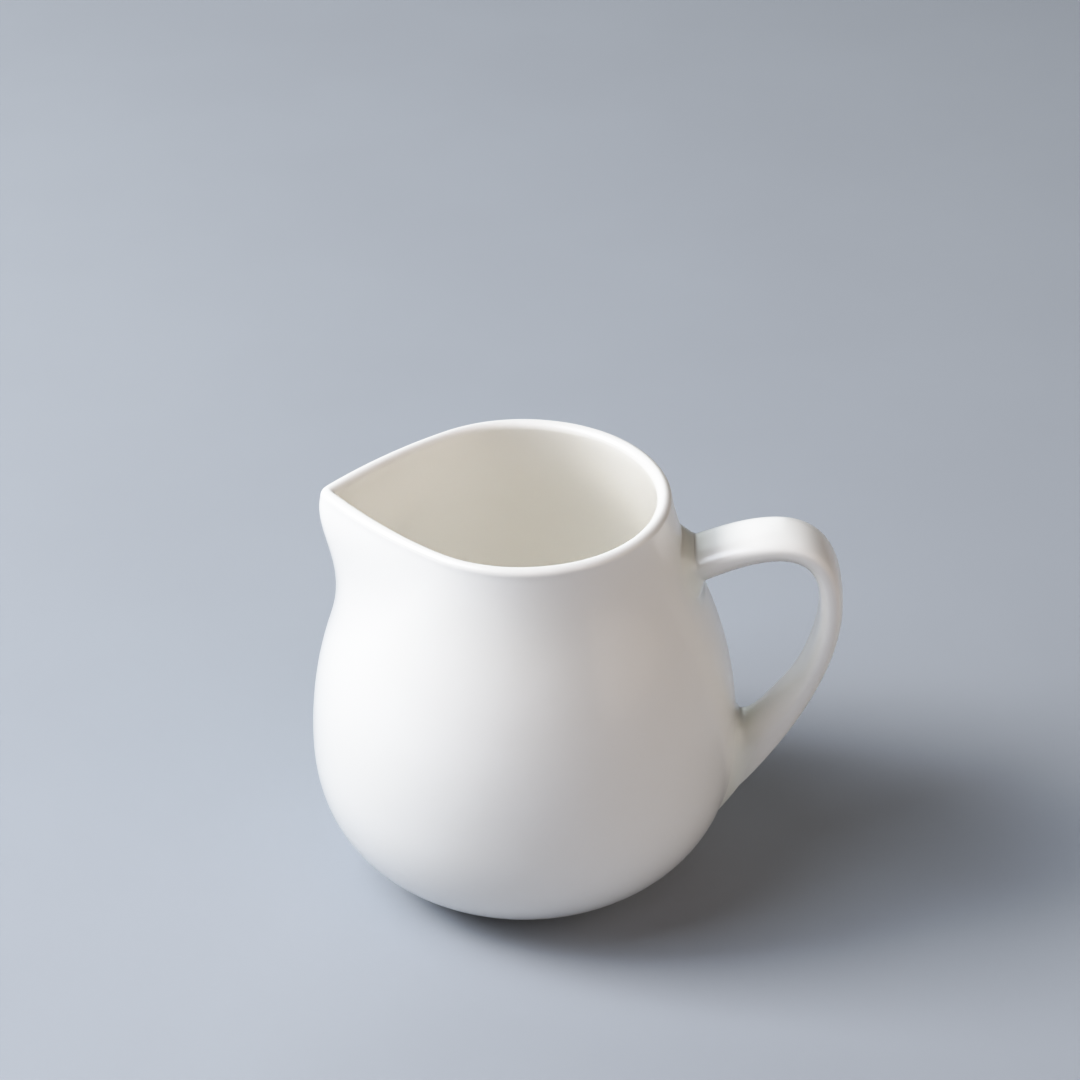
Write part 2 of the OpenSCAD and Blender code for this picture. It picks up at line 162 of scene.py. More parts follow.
def nose_r(z):
    led_out = np.maximum(np.interp(z, nose[:, 1], nose[:, 0]), pot_r(z))
    return np.where(z <= spout_root_z, pot_r(z), led_out)


def nose_round(z):
    u = np.clip((z - spout_root_z) / (rim_z - spout_root_z), 0, 1)
    return pot_r(z) * (1 - u) + tip_r * u


print("nose runs out by", round(float(nose_r(rim_z) - pot_r(rim_z)), 2), "mm at the mouth")

# %% The plan at a height
tiny = 1e-6
least_spout = 0.001


def plan_r(angle, a, reach, b):
    """Radius at an angle from the spout: mouth circle a, full sides, tip of radius b."""
    c = np.maximum(reach - b, tiny)
    to_circle = spout_side_r - a
    to_tip = spout_side_r - b
    mx = (to_circle ** 2 + c * c - to_tip ** 2) / (2 * c)
    my = np.sqrt(np.maximum(to_circle ** 2 - mx * mx, 0))
    circle_from = np.arctan2(my, -mx)
    tip_to = np.arctan2(b * my / to_tip, c + b * (c - mx) / to_tip)
    cos, sin = np.cos(angle), np.sin(angle)
    tip = c * cos + np.sqrt(np.maximum(b * b - (c * sin) ** 2, 0))
    q = mx * cos - my * sin
    side = q + np.sqrt(np.maximum(q * q - to_circle ** 2 + spout_side_r ** 2, 0))
    r = np.where(angle < tip_to, tip, np.where(angle < circle_from, side, a))
    return np.where(reach - a < least_spout, a, r)


mouth = plan_r(np.radians([0, 90, 180]), pot_r(rim_z), nose_r(rim_z), nose_round(rim_z))
print("mouth at the tip, the side and the handle:", mouth.round(2))


# %% The finished outside surface
def finished(theta, z):
    """Points in mm of the glazed outside; theta in degrees from the handle."""
    theta, z = np.broadcast_arrays(np.asarray(theta, float), np.asarray(z, float))
    from_spout = np.abs(math.pi - np.abs(np.radians(theta)))
    r = plan_r(from_spout, pot_r(z), nose_r(z), nose_round(z))
    return np.stack([r * np.cos(np.radians(theta)), r * np.sin(np.radians(theta)), z], -1)


def normal_at(theta, z):
    """The outward normal, from the steps to four neighbours a probe away."""
    zc = np.clip(z, foot_h + probe, rim_z - probe)
    return unit(np.cross(finished(theta + probe, zc) - finished(theta - probe, zc),
                         finished(theta, zc + probe) - finished(theta, zc - probe)))


def level(v):
    return unit(v * [1, 1, 0])


def inset(theta, z, depth):
    """The finished surface set in by a depth; at the lip the inset is level."""
    theta, z = np.broadcast_arrays(np.asarray(theta, float), np.asarray(z, float))
    n = normal_at(theta, z)
    n = np.where((z >= rim_z - tiny)[..., None], level(n), n)
    return finished(theta, z) - np.asarray(depth)[..., None] * n


print("spout reaches", round(float(nose_r(rim_z)), 2), "mm from the axis")

# %% [markdown]
# ## The handle's path
# The strap leaves the neck almost square to the wall, turns over a bow and comes back into the
# belly at a slant. It is two Bezier curves in one upright plane. The section is a rounded
# rectangle that gets thinner on its way down, and deepens into a web where it meets the wall.

# %% Sizes of the handle and the slip
handle_w = 10.4
handle_t_top = 4.4
handle_t_low = 3.2
handle_out = 14.6
bow = np.array([belly_r + handle_out, height - 20.6])
upper_root_z = height - 12.2
lower_root_z = 15
upper_tilt = 2
lower_lean = 20
upper_web = 0.8
lower_web = 7.8
pulls = {"upper root": 10, "above the bow": 17, "below the bow": 10.5, "lower root": 9}
strap_steps = 44
web_steps = 28
root_share = 0.22
print("strap of", handle_w, "mm wide,", handle_t_top, "to", handle_t_low, "mm thick")

# %% [markdown]
# ### The two roots
# Each end of the strap is cut parallel to the wall, a slip's thickness away from it. So the
# wall itself gives the directions there: its normal, and the way up along it.

# %% Where the strap starts and ends
joint_len = 1.6
joint_flare = 2


def root_foot(z):
    """The point of the bare wall behind the handle at a height, as distance and height."""
    return inset(0, z, glaze_t)[[0, 2]]


def root_out(z):
    """The wall's outward direction there."""
    return unit(normal_at(0, z)[[0, 2]])


def root_up(z):
    """The way up along the wall there."""
    n = root_out(z)
    return np.array([-n[1], n[0]])


def swing(v, angle):
    """A direction turned upwards by an angle in degrees."""
    c, s = heading(angle)
    return np.array([v[0] * c - v[1] * s, v[0] * s + v[1] * c])


def root_start(z, way):
    """Where a strap that leaves the wall in a direction starts, past the slip."""
    return root_foot(z) + way * joint_len / float(way @ root_out(z))


upper_way = swing(root_out(upper_root_z), upper_tilt)
lower_way = swing(root_up(lower_root_z), -lower_lean)
upper_end = root_start(upper_root_z, upper_way)
lower_end = root_start(lower_root_z, lower_way)
print("strap's ends:", upper_end.round(2), lower_end.round(2))

# %% The strap's middle line
half_way = np.linspace(0, 1, strap_steps + 1)
over = bezier([upper_end, upper_end + pulls["upper root"] * upper_way,
               bow + [0, pulls["above the bow"]], bow], half_way)
under = bezier([bow, bow - [0, pulls["below the bow"]],
                lower_end + pulls["lower root"] * lower_way, lower_end], half_way)
strap_line = np.vstack([over, under[1:]])
strap_last = len(strap_line) - 1
strap_share = np.arange(strap_last + 1) / strap_last
print("strap is", round(float(np.linalg.norm(np.diff(strap_line, axis=0), axis=1).sum()), 1), "mm")

# %% Which way the section points
ahead = np.vstack([strap_line[1:], strap_line[-1:]])
behind = np.vstack([strap_line[:1], strap_line[:-1]])
strap_way = unit(ahead - behind)
strap_way[0], strap_way[-1] = upper_way, -lower_way
strap_side = np.stack([-strap_way[:, 1], strap_way[:, 0]], -1)
near_top = ease(1 - strap_share / root_share)[:, None]
near_low = ease((strap_share - 1 + root_share) / root_share)[:, None]
strap_axis = unit((1 - near_top - near_low) * strap_side + near_top * root_up(upper_root_z)
                  - near_low * root_up(lower_root_z))
print("section turns to the wall over", int(root_share * strap_last), "rings at each end")

# %% How deep the section is
strap_t = handle_t_top + (handle_t_low - handle_t_top) * strap_share
strap_half = (strap_t / 2 - glaze_t) / (strap_axis * strap_side).sum(-1)
upper_deepening = upper_web * np.clip(1 - np.arange(strap_last + 1) / web_steps, 0, 1) ** 2
inner_edge = strap_line - strap_axis * (strap_half + upper_deepening)[:, None]
print("half a section:", strap_half.min().round(2), "to", strap_half.max().round(2), "mm")

# %% [markdown]
# ### The web at the lower root
# Where the strap meets the belly at a slant, the corner between them is filled, which makes
# the joint strong. The strap's inner edge leaves its middle line there and runs out on a curve
# of its own. A width added ring by ring would be simpler, but where the strap bends in towards
# the wall its rings would then cross one another.

# %% The inner edge along the web
web_from = strap_last - web_steps
inner_to = strap_line[-1] - strap_axis[-1] * (strap_half[-1] + lower_web)
third = (inner_to - inner_edge[web_from]) / 3
inner_edge[web_from:] = bezier(
    [inner_edge[web_from], inner_edge[web_from] + strap_way[web_from] * np.linalg.norm(third),
     inner_to - third, inner_to], np.linspace(0, 1, web_steps + 1))
print("web of", web_steps, "rings, deepest", lower_web, "mm")

# %% [markdown]
# ## One grid for wall, roots and glaze
# The wall is a sheet of cells, wrapped round the pot. Two patches of it have the outline of the
# handle's roots, so that the slip and the glaze can be sewn to the wall point by point and the
# joint is closed without any cutting. The outline is a square of cells pressed into a rounded
# square, so its corners are smooth and its cells still count in rows and columns.

# %% Rounded squares
corner_power = 2.8


def round_in(u, v):
    """A point of the square from -1 to 1, pressed into the rounded square."""
    m = np.maximum(np.abs(u), np.abs(v))
    p = (np.abs(u) ** corner_power + np.abs(v) ** corner_power) ** (1 / corner_power)
    s = np.where(m > 0, m / np.maximum(p, tiny), 0)
    return u * s, v * s


corner = float(round_in(np.array(1.0), np.array(1.0))[0])
print("a corner is pressed in to", round(corner, 2))

# %% Rows
low_rows, root_rows, mid_rows, top_rows, lip_steps = 14, 8, 14, 8, 12
low_bunching = 1.5
upper_reach = strap_half[0] + glaze_t + joint_flare
lower_reach = strap_half[-1] + glaze_t + joint_flare
upper_area = (upper_root_z, upper_reach + upper_web, upper_reach)
lower_area = (lower_root_z, lower_reach, lower_reach + lower_web)


def root_levels(area):
    """Heights of the rows across a root's area, which is its middle, depth below and above."""
    below = np.linspace(area[0] - area[1], area[0], root_rows, endpoint=False)
    above = np.linspace(area[0], area[0] + area[2], root_rows, endpoint=False)
    return np.concatenate([below, above])


def between(a, b, n):
    return np.linspace(a, b, n, endpoint=False)


foot_rise = lower_area[0] - lower_area[1] - foot_h
rows = np.concatenate([
    foot_h + foot_rise * (np.arange(low_rows) / low_rows) ** low_bunching,
    root_levels(lower_area),
    between(lower_area[0] + lower_area[2], upper_area[0] - upper_area[1], mid_rows),
    root_levels(upper_area),
    between(upper_area[0] + upper_area[2], rim_z, top_rows),
    [rim_z]])
last_row = len(rows) - 1
lower_mid = low_rows + root_rows
upper_mid = lower_mid + root_rows + mid_rows + root_rows
print(last_row + 1, "rows, with the roots' middles at", lower_mid, "and", upper_mid)

# %% Columns
root_cols, side_cols = 8, 64
side_bunching = 1.3


def angle_across(z):
    """Half the angle that a root takes up on the pot at a height."""
    return math.degrees(math.asin((handle_w / 2 + joint_flare) / float(pot_r(z))))


half_cols = root_cols + side_cols
cols = 2 * half_cols
root_angle = angle_across(upper_root_z)

signed = np.arange(cols)
signed = np.where(signed <= half_cols, signed, signed - cols)
spread = np.abs(signed)
side_angle = np.where(spread <= root_cols, root_angle * spread / root_cols,
                      180 - (180 - root_angle)
                      * (np.maximum(half_cols - spread, 0) / side_cols) ** side_bunching)
print(cols, "columns,", 2 * root_cols, "of them across a root")

# %% The grid, with a rounded patch at each root
theta = np.tile(np.sign(signed) * side_angle, (last_row + 1, 1))
level_z = np.tile(rows[:, None], (1, cols))
near = np.nonzero(spread <= root_cols)[0]
for mid, area in ((upper_mid, upper_area), (lower_mid, lower_area)):
    for i in range(mid - root_rows, mid + root_rows + 1):
        u, v = round_in(signed[near] / root_cols, np.full(len(near), (i - mid) / root_rows))
        theta[i, near] = angle_across(area[0]) * u
        level_z[i, near] = area[0] + v * np.where(v < 0, area[1], area[2])
print("grid of", last_row + 1, "rows and", cols, "columns")

# %% [markdown]
# ## Wall and lip
# The wall has four skins: finished glaze and bare clay, outside and inside. The lip is rolled:
# half a circle from the outside to the inside over the crest. Towards the spout it thins, as it
# does where a finger has stretched it.

# %% How thick the wall and the lip are
lip_side_t = 1.6
stretch_from, stretch_to, stretch_ease = 75, 172, 40


def lip_at(angle):
    """Half the lip's finished thickness at an angle from the handle."""
    share = (ease((np.abs(angle) - stretch_from) / stretch_ease)
             * ease((stretch_to - np.abs(angle)) / stretch_ease))
    return glaze_t + (lip_t + (lip_side_t - lip_t) * share) / 2


def wall_at(angle, z):
    lip_clay = 2 * (lip_at(angle) - glaze_t)
    return wall_t + (lip_clay - wall_t) * ease((z - belly_z) / (rim_z - belly_z))


half_lips = [round(float(lip_at(a)), 2) for a in (0, (stretch_from + stretch_to) / 2, 180)]
print("half the lip at the handle, the side and the spout:", half_lips)


# %% Helpers for skins
def wall_skin(depth, clay):
    """The grid's points, set in from the finished surface by a depth, and by the wall too."""
    thick = wall_at(theta, level_z) if clay else 0
    return inset(theta, level_z, depth + thick + 0 * level_z)


def lip_rings(less, angles):
    """Rings over the lip at angles from level; less is how much thinner the lip is taken."""
    t = theta[last_row]
    n = level(normal_at(t, np.full(cols, rim_z)))
    wide = lip_at(t)
    out = []
    for a in angles:
        c, s = math.cos(math.radians(a)), math.sin(math.radians(a))
        ring = finished(t, rim_z) + n * ((wide - less) * c - wide)[:, None]
        ring[:, 2] += (lip_r - less) * s
        out.append(ring)
    return np.array(out)


print("skins have", last_row + 1, "rows on the wall and", lip_steps, "rings on the lip")

# %% Four skins
up_angles = np.linspace(0, 90, lip_steps + 1)[1:]
down_angles = np.linspace(180, 90, lip_steps + 1)[1:]
outside_glaze = np.concatenate([wall_skin(0, False), lip_rings(0, up_angles)])
outside_clay = np.concatenate([wall_skin(glaze_t, False), lip_rings(glaze_t, up_angles)])
inside_clay = np.concatenate([wall_skin(glaze_t, True), lip_rings(glaze_t, down_angles)])
inside_glaze = np.concatenate([wall_skin(2 * glaze_t, True), lip_rings(0, down_angles)])
n_rings = len(outside_glaze)
print("skins of", n_rings, "rings")


# %% [markdown]
# ### Rings round the handle
# The cells along a root's edge, counted once round, give the number of points that every ring
# of the strap and of the slip has. So each ring can be sewn to the next and to the wall.


# %% The edge of a root
def root_edge_list():
    """Cells from the middle of a root to each point of its edge, once round."""
    a, b = root_cols, root_rows
    return ([(u, -b) for u in range(-a, a)] + [(a, v) for v in range(-b, b)]
            + [(u, b) for u in range(a, -a, -1)] + [(-a, v) for v in range(b, -b, -1)])


root_edge = root_edge_list()
around = len(root_edge)
edge_u = np.array([e[0] for e in root_edge])
edge_v = np.array([e[1] for e in root_edge])


def root_index(mid, turn):
    return (mid + turn * edge_v) * cols + (edge_u % cols)


def root_ring(skin, mid, turn):
    return skin[mid + turn * edge_v, edge_u % cols]


print("a root's edge has", around, "points")

# %% Rings of the strap and the slip
slip_fullness = 0.7
slip_steps = 10
section_u, section_v = round_in(edge_u / root_cols, edge_v / root_rows)


def strap_ring(k):
    """The strap's section at a point of its line: full outwards, web and all inwards."""
    outward = strap_axis[k] * strap_half[k]
    inward = inner_edge[k] - strap_line[k]
    share = section_v[:, None]
    xz = strap_line[k] + np.where(share < 0, -inward * share, outward * share)
    return np.stack([xz[:, 0], (handle_w / 2 - glaze_t) * section_u, xz[:, 1]], -1)


def slip_rings(strap, mid, turn, stations):
    """The slip runs off the strap's end towards the wall and then out along it."""
    root = root_ring(outside_clay, mid, turn)
    middle = outside_clay[mid, 0]
    out = normal_at(0.0, middle[2])
    ratio = handle_w / (handle_w + 2 * joint_flare)
    bend = middle + (root - middle) * ratio + out * joint_len * slip_fullness
    return [(1 - t) ** 2 * strap + 2 * t * (1 - t) * bend + t * t * root for t in stations]


stations = np.linspace(0, 1, slip_steps + 1)[1:-1]
strap_rings = [strap_ring(k) for k in range(strap_last + 1)]
upper_slip = slip_rings(strap_rings[0], upper_mid, 1, stations)
lower_slip = slip_rings(strap_rings[-1], lower_mid, -1, stations)
handle_clay = ([root_ring(outside_clay, upper_mid, 1)] + upper_slip[::-1] + strap_rings
               + lower_slip + [root_ring(outside_clay, lower_mid, -1)])
print("handle of", len(handle_clay), "rings of", around)


# %% The glaze round the handle
def coated(path):
    """Every ring of the path but the two last pushed out by the glaze's thickness."""
    path = np.array(path)
    turn_way = np.roll(path, -1, 1) - np.roll(path, 1, 1)
    out = path.copy()
    step_way = path[2:] - path[:-2]
    out[1:-1] += glaze_t * unit(np.cross(turn_way[1:-1], step_way))
    out[0] = root_ring(outside_glaze, upper_mid, 1)
    out[-1] = root_ring(outside_glaze, lower_mid, -1)
    return out


handle_coat = coated(handle_clay)
coat_t = np.linalg.norm(handle_coat - np.array(handle_clay), axis=-1)[1:-1]
print("glaze on the handle:", coat_t.min().round(2), "to", coat_t.max().round(2), "mm")

# %% [markdown]
# ## Tones of clay, glaze and paper
# White porcelain is never one white. The clay takes a slightly different tone where it dried or
# fired slower, and paper has clouds where its pulp lies thicker. All of these are the same
# effect at other scales, so it is one node group: soft noise that fades between two tones. It
# also puts out its mask, so that a material can let its gloss drift with its tone. An image
# would do this for one jug only, and noise on Object coordinates needs no unwrapping.


# %% Helpers for node trees
def wire(tree, value, socket):
    """A number, colour or material goes on the socket, and an output is linked to it."""
    if isinstance(value, bpy.types.NodeSocket):
        tree.links.new(value, socket)
    elif value is not None:
        socket.default_value = value


def put(tree, kind, inputs=(), **settings):
    """A node with its settings; inputs pairs each socket's name or number with a value."""
    node = tree.nodes.new(kind)
    for key, value in settings.items():
        setattr(node, key, value)
    for key, value in dict(inputs).items():
        wire(tree, value, node.inputs[key])
    return node


def calc(tree, operation, *values):
    """The output of a Math node."""
    node = put(tree, "ShaderNodeMath", enumerate(values), operation=operation)
    return node.outputs[0]


def empty_tree(name, family, inputs, outputs):
    """A node tree with named sockets; inputs are (name, kind, value), outputs (name, kind)."""
    tree = bpy.data.node_groups.new(name, family)
    for title, kind, value in inputs:
        socket = tree.interface.new_socket(title, in_out="INPUT", socket_type=kind)
        if value is not None:
            socket.default_value = value
    for title, kind in outputs:
        tree.interface.new_socket(title, in_out="OUTPUT", socket_type=kind)
    return tree, put(tree, "NodeGroupInput"), put(tree, "NodeGroupOutput")


# %% Group: cloudy tone
cloudy, given, result = empty_tree(
    "cloudy_tone", "ShaderNodeTree",
    [("Place", "NodeSocketVector", None), ("Low Tone", "NodeSocketColor", (0.7, 0.7, 0.7, 1)),
     ("High Tone", "NodeSocketColor", (0.8, 0.8, 0.8, 1)), ("Clouds", "NodeSocketFloat", 60.0)],
    [("Tone", "NodeSocketColor"), ("Mask", "NodeSocketFloat")])
clouds = put(cloudy, "ShaderNodeTexNoise",
             {"Vector": given.outputs["Place"], "Scale": given.outputs["Clouds"],
              "Detail": 3.0, "Roughness": 0.55})
mask = put(cloudy, "ShaderNodeMapRange",
           {"Value": clouds.outputs["Fac"], "From Min": 0.3, "From Max": 0.7},
           interpolation_type="SMOOTHSTEP")
blend = put(cloudy, "ShaderNodeMix", {"Factor": mask.outputs["Result"]}, data_type="RGBA")
cloudy.links.new(given.outputs["Low Tone"], blend.inputs["A"])
cloudy.links.new(given.outputs["High Tone"], blend.inputs["B"])
wire(cloudy, blend.outputs["Result"], result.inputs["Tone"])
wire(cloudy, mask.outputs["Result"], result.inputs["Mask"])
print("group", cloudy.name, "with", len(cloudy.nodes), "nodes")

# %% [markdown]
# ## Relief of a few hundredths of a millimetre
# Glaze melts and settles with a long soft ripple, biscuit clay keeps the grain of its powder,
# and paper has fibres. A second group adds a wave and a grain into one height, and a Bump node
# in the material turns the height into a normal. It is too small to be worth real geometry.

# %% Group: fine relief
relief, given, result = empty_tree(
    "fine_relief", "ShaderNodeTree",
    [("Place", "NodeSocketVector", None), ("Waves", "NodeSocketFloat", 120.0),
     ("Wave Height", "NodeSocketFloat", 1.0), ("Grain", "NodeSocketFloat", 3000.0),
     ("Grain Height", "NodeSocketFloat", 0.1)],
    [("Height", "NodeSocketFloat")])
waves = put(relief, "ShaderNodeTexNoise",
            {"Vector": given.outputs["Place"], "Scale": given.outputs["Waves"], "Detail": 1.0})
grain = put(relief, "ShaderNodeTexNoise",
            {"Vector": given.outputs["Place"], "Scale": given.outputs["Grain"], "Detail": 4.0})
height_sum = calc(relief, "ADD",
                  calc(relief, "MULTIPLY", waves.outputs["Fac"], given.outputs["Wave Height"]),
                  calc(relief, "MULTIPLY", grain.outputs["Fac"], given.outputs["Grain Height"]))
wire(relief, height_sum, result.inputs["Height"])
print("group", relief.name, "with", len(relief.nodes), "nodes")

# %% [markdown]
# ## Finishes
# There are three on the jug, and the paper it stands on. The clear glaze makes the clay under
# it look whiter and lies over it like water: a smooth coat with a soft lustre below. Where it
# pooled, in the creases round the handle, it is thick enough to show its faint grey-green.
# The unglazed clay is matt and a little darker, and the slip is clay thinned with water, so it
# has the same colour and a smoother grain.


# %% A material with both groups
def surface(name, low, high, clouds, gloss, relief_sizes, bump):
    """Gloss is the roughness at the low and the high tone, bump its strength and distance."""
    material = bpy.data.materials.new(name)
    material.use_nodes = True
    tree = material.node_tree
    tree.nodes.clear()
    place = put(tree, "ShaderNodeTexCoord").outputs["Object"]
    tone = put(tree, "ShaderNodeGroup", node_tree=cloudy)
    wire(tree, place, tone.inputs["Place"])
    wire(tree, (*low, 1), tone.inputs["Low Tone"])
    wire(tree, (*high, 1), tone.inputs["High Tone"])
    wire(tree, clouds, tone.inputs["Clouds"])
    ripple = put(tree, "ShaderNodeGroup", node_tree=relief)
    wire(tree, place, ripple.inputs["Place"])
    for title, value in relief_sizes.items():
        wire(tree, value, ripple.inputs[title])
    rough = put(tree, "ShaderNodeMapRange", {"Value": tone.outputs["Mask"],
                                             "To Min": gloss[0], "To Max": gloss[1]})
    dent = put(tree, "ShaderNodeBump", {"Strength": bump[0], "Distance": bump[1],
                                        "Height": ripple.outputs["Height"]})
    shader = put(tree, "ShaderNodeBsdfPrincipled",
                 {"Base Color": tone.outputs["Tone"], "Roughness": rough.outputs["Result"],
                  "Normal": dent.outputs["Normal"]})
    out = put(tree, "ShaderNodeOutputMaterial")
    tree.links.new(shader.outputs[0], out.inputs["Surface"])
    return material, tree, shader, tone


# %% Clear glaze
glazed, tree, shader, tone = surface(
    "glazed_porcelain", (0.955, 0.938, 0.896), (0.965, 0.95, 0.915), 45.0, (0.34, 0.28),
    {"Waves": 140.0, "Wave Height": 1.0, "Grain": 2500.0, "Grain Height": 0.02}, (0.25, 0.00012))
shader.inputs["Coat Weight"].default_value = 0.6
shader.inputs["Coat Roughness"].default_value = 0.14
pooled = put(tree, "ShaderNodeAttribute", attribute_name="pooled")
pool_mix = put(tree, "ShaderNodeMix", {"Factor": pooled.outputs["Fac"]}, data_type="RGBA",
               blend_type="MULTIPLY")
tree.links.new(tone.outputs["Tone"], pool_mix.inputs["A"])
wire(tree, (0.93, 0.965, 0.94, 1), pool_mix.inputs["B"])
tree.links.new(pool_mix.outputs["Result"], shader.inputs["Base Color"])
print(glazed.name, "with", len(tree.nodes), "nodes")

# %% Bare clay, slip and paper
biscuit = surface(
    "biscuit_porcelain", (0.72, 0.70, 0.65), (0.80, 0.78, 0.73), 220.0, (0.82, 0.7),
    {"Waves": 500.0, "Wave Height": 0.6, "Grain": 6000.0, "Grain Height": 0.8},
    (0.6, 0.00006))[0]
slip_clay = surface(
    "dried_slip", (0.76, 0.74, 0.69), (0.82, 0.80, 0.75), 300.0, (0.74, 0.64),
    {"Waves": 350.0, "Wave Height": 1.0, "Grain": 6000.0, "Grain Height": 0.3},
    (0.5, 0.00006))[0]
paper = surface(
    "studio_paper", (0.385, 0.41, 0.447), (0.395, 0.422, 0.46), 14.0, (0.95, 0.9),
    {"Waves": 900.0, "Wave Height": 0.4, "Grain": 4200.0, "Grain Height": 0.6},
    (0.25, 0.0001))[0]
print("materials:", [m.name for m in (glazed, biscuit, slip_clay, paper)])

# %% [markdown]
# ## From rings to closed meshes
# Every piece is a closed solid made of rings: bands of four-sided cells between neighbouring
# rings, and a fan where it ends. A closed mesh matters here, because a pottery's pieces have a
# volume, and an open edge would show as a crack in a printed copy. The helper that hands a
# piece over counts its open edges and measures its volume, which is negative if the faces
# point inwards.


# %% Helpers for meshes
def band(lower, upper, n, flip=False, skip=()):
    """Cells between two rings that start at the indices lower and upper."""
    faces = []
    for c in range(n):
        if c not in skip:
            d = (c + 1) % n
            cell = (lower + c, lower + d, upper + d, upper + c)
            faces.append(cell[::-1] if flip else cell)
    return faces


def linked(name, data):
    """A new object in the scene with its mesh, lamp or camera."""
    obj = bpy.data.objects.new(name, data)
    bpy.context.scene.collection.objects.link(obj)
    return obj


def sewn_piece(name, points, faces, material):
    """An object from points in mm and faces, with its material."""
    mesh = bpy.data.meshes.new(name)
    mesh.from_pydata((np.asarray(points) * MM).tolist(), [], faces)
    mesh.validate()
    mesh.materials.append(material)
    return linked(name, mesh)


print("a band of 8 cells without one:", len(band(0, 8, 8, skip=(0,))), "faces")


# %% Handing a piece over
def hand_over(obj, replaced):
    """Checks a finished piece, lets it ride, and hides the CAD nodes it stands in for."""
    mesh = obj.data
    b = bmesh.new()
    b.from_mesh(mesh)
    open_edges = sum(not e.is_manifold for e in b.edges)
    volume = b.calc_volume(signed=True) / MM ** 3
    b.free()
    mesh.shade_smooth()
    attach(obj, "root")
    if replaced:
        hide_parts(*replaced)
    triangles = sum(len(p.vertices) - 2 for p in mesh.polygons)
    print(f"{obj.name}: {triangles} triangles, {volume:.0f} mm3, {open_edges} open edges")


# %% [markdown]
# ## The clay pot
# The pot is cast or thrown in one: wall, floor, lip and spout. Nothing of it shows once it is
# glazed, yet it is a piece of its own, because clay and glaze are two materials and a printer,
# a cutter or a simulation may want only one. A lathe modifier couldn't make the spout, so the
# sheet of rings from above is used, outside and inside, with a sunk floor that closes it.

# %% Floor inside the pot
floor_sink = 0.3
floor_rings = 10


def floor_cap(edge):
    """Rings that close a skin's floor, from near the middle out to its edge, and the middle."""
    middle = np.array([0, 0, edge[0][2] - floor_sink])
    shares = np.arange(1, floor_rings + 1) / (floor_rings + 1)
    rings = edge[None] * shares[:, None, None]
    rings[..., 2] = middle[2] + floor_sink * shares[:, None] ** 2
    return rings, middle


def inner_wall(skin, first, lip, flip):
    """Points and faces of an inside skin with its floor; lip is where its last ring starts."""
    rings, middle = floor_cap(skin[0])
    stack = np.concatenate([rings, skin[:-1]])
    faces = []
    for r in range(len(stack) - 1):
        faces += band(first + r * cols, first + (r + 1) * cols, cols, not flip)
    faces += band(first + (len(stack) - 1) * cols, lip, cols, not flip)
    tip = first + len(stack) * cols
    for c in range(cols):
        fan = (tip, first + c, first + (c + 1) % cols)
        faces.append(fan[::-1] if flip else fan)
    return np.concatenate([stack.reshape(-1, 3), [middle]]), faces


print("floor is", floor_sink, "mm lower in its middle")

# %% Clay pot
underside_z = float(outside_clay[0][0][2])
pot_faces = []
for ring in range(n_rings - 1):
    pot_faces += band(ring * cols, (ring + 1) * cols, cols)
inner_points, inner_faces = inner_wall(inside_clay, n_rings * cols, (n_rings - 1) * cols, False)
pot_points = np.concatenate([outside_clay.reshape(-1, 3), inner_points, [[0, 0, underside_z]]])
under_tip = len(pot_points) - 1
pot_faces += inner_faces + [(under_tip, (c + 1) % cols, c) for c in range(cols)]
clay_pot = sewn_piece("clay_pot", pot_points, pot_faces, biscuit)
hand_over(clay_pot, ["body"])

# %% [markdown]
# ## A tree that runs rings along a path
# The strap of the handle is one section that follows one path and changes size on the way, and
# a turned disc is a circle that follows its axis. That is one rule, so it is one Geometry
# Nodes tree. The modifier's own mesh is the path: one point for each ring, with three vectors
# as attributes. "wide" and "deep" say how far the section's two directions reach, and "web"
# deepens only the side that faces the wall. The section is an object of its own. A cylinder
# gives the cells and the two fans, and each of its points is then moved to its place by its
# index. A curve with a bevel would be shorter, but can't change its section's two sides apart.

# %% Tree: rings along a path
ring_tree, given, result = empty_tree(
    "rings_along_a_path", "GeometryNodeTree",
    [("Path", "NodeSocketGeometry", None), ("Section", "NodeSocketObject", None),
     ("Points in Section", "NodeSocketInt", 32), ("Rings", "NodeSocketInt", 12),
     ("Finish", "NodeSocketMaterial", None)],
    [("Piece", "NodeSocketGeometry")])
around_n, rings_n = given.outputs["Points in Section"], given.outputs["Rings"]
cells = put(ring_tree, "GeometryNodeMeshCylinder",
            {"Vertices": around_n, "Side Segments": calc(ring_tree, "SUBTRACT", rings_n, 1)},
            fill_type="TRIANGLE_FAN")
index = put(ring_tree, "GeometryNodeInputIndex").outputs[0]
from_first = calc(ring_tree, "SUBTRACT", index, 1)
ring_no = calc(ring_tree, "FLOOR", calc(ring_tree, "DIVIDE", from_first, around_n))
ring_no = calc(ring_tree, "MINIMUM", calc(ring_tree, "MAXIMUM", ring_no, 0),
               calc(ring_tree, "SUBTRACT", rings_n, 1))
point_no = calc(ring_tree, "MODULO", calc(ring_tree, "MAXIMUM", from_first, 0), around_n)
all_points_n = calc(ring_tree, "MULTIPLY", around_n, rings_n)
before_last = calc(ring_tree, "LESS_THAN", from_first, all_points_n)
on_ring = calc(ring_tree, "MULTIPLY", before_last, calc(ring_tree, "GREATER_THAN", index, 0.5))
print("tree", ring_tree.name, "counts rings with", len(ring_tree.nodes), "nodes")


# %% Helpers for geometry trees
def look_up(tree, geometry, value, where):
    """A value at the point of a geometry whose index is given."""
    node = put(tree, "GeometryNodeSampleIndex", data_type="FLOAT_VECTOR", domain="POINT")
    for socket, source in (("Geometry", geometry), ("Value", value), ("Index", where)):
        tree.links.new(source, node.inputs[socket])
    return node.outputs["Value"]


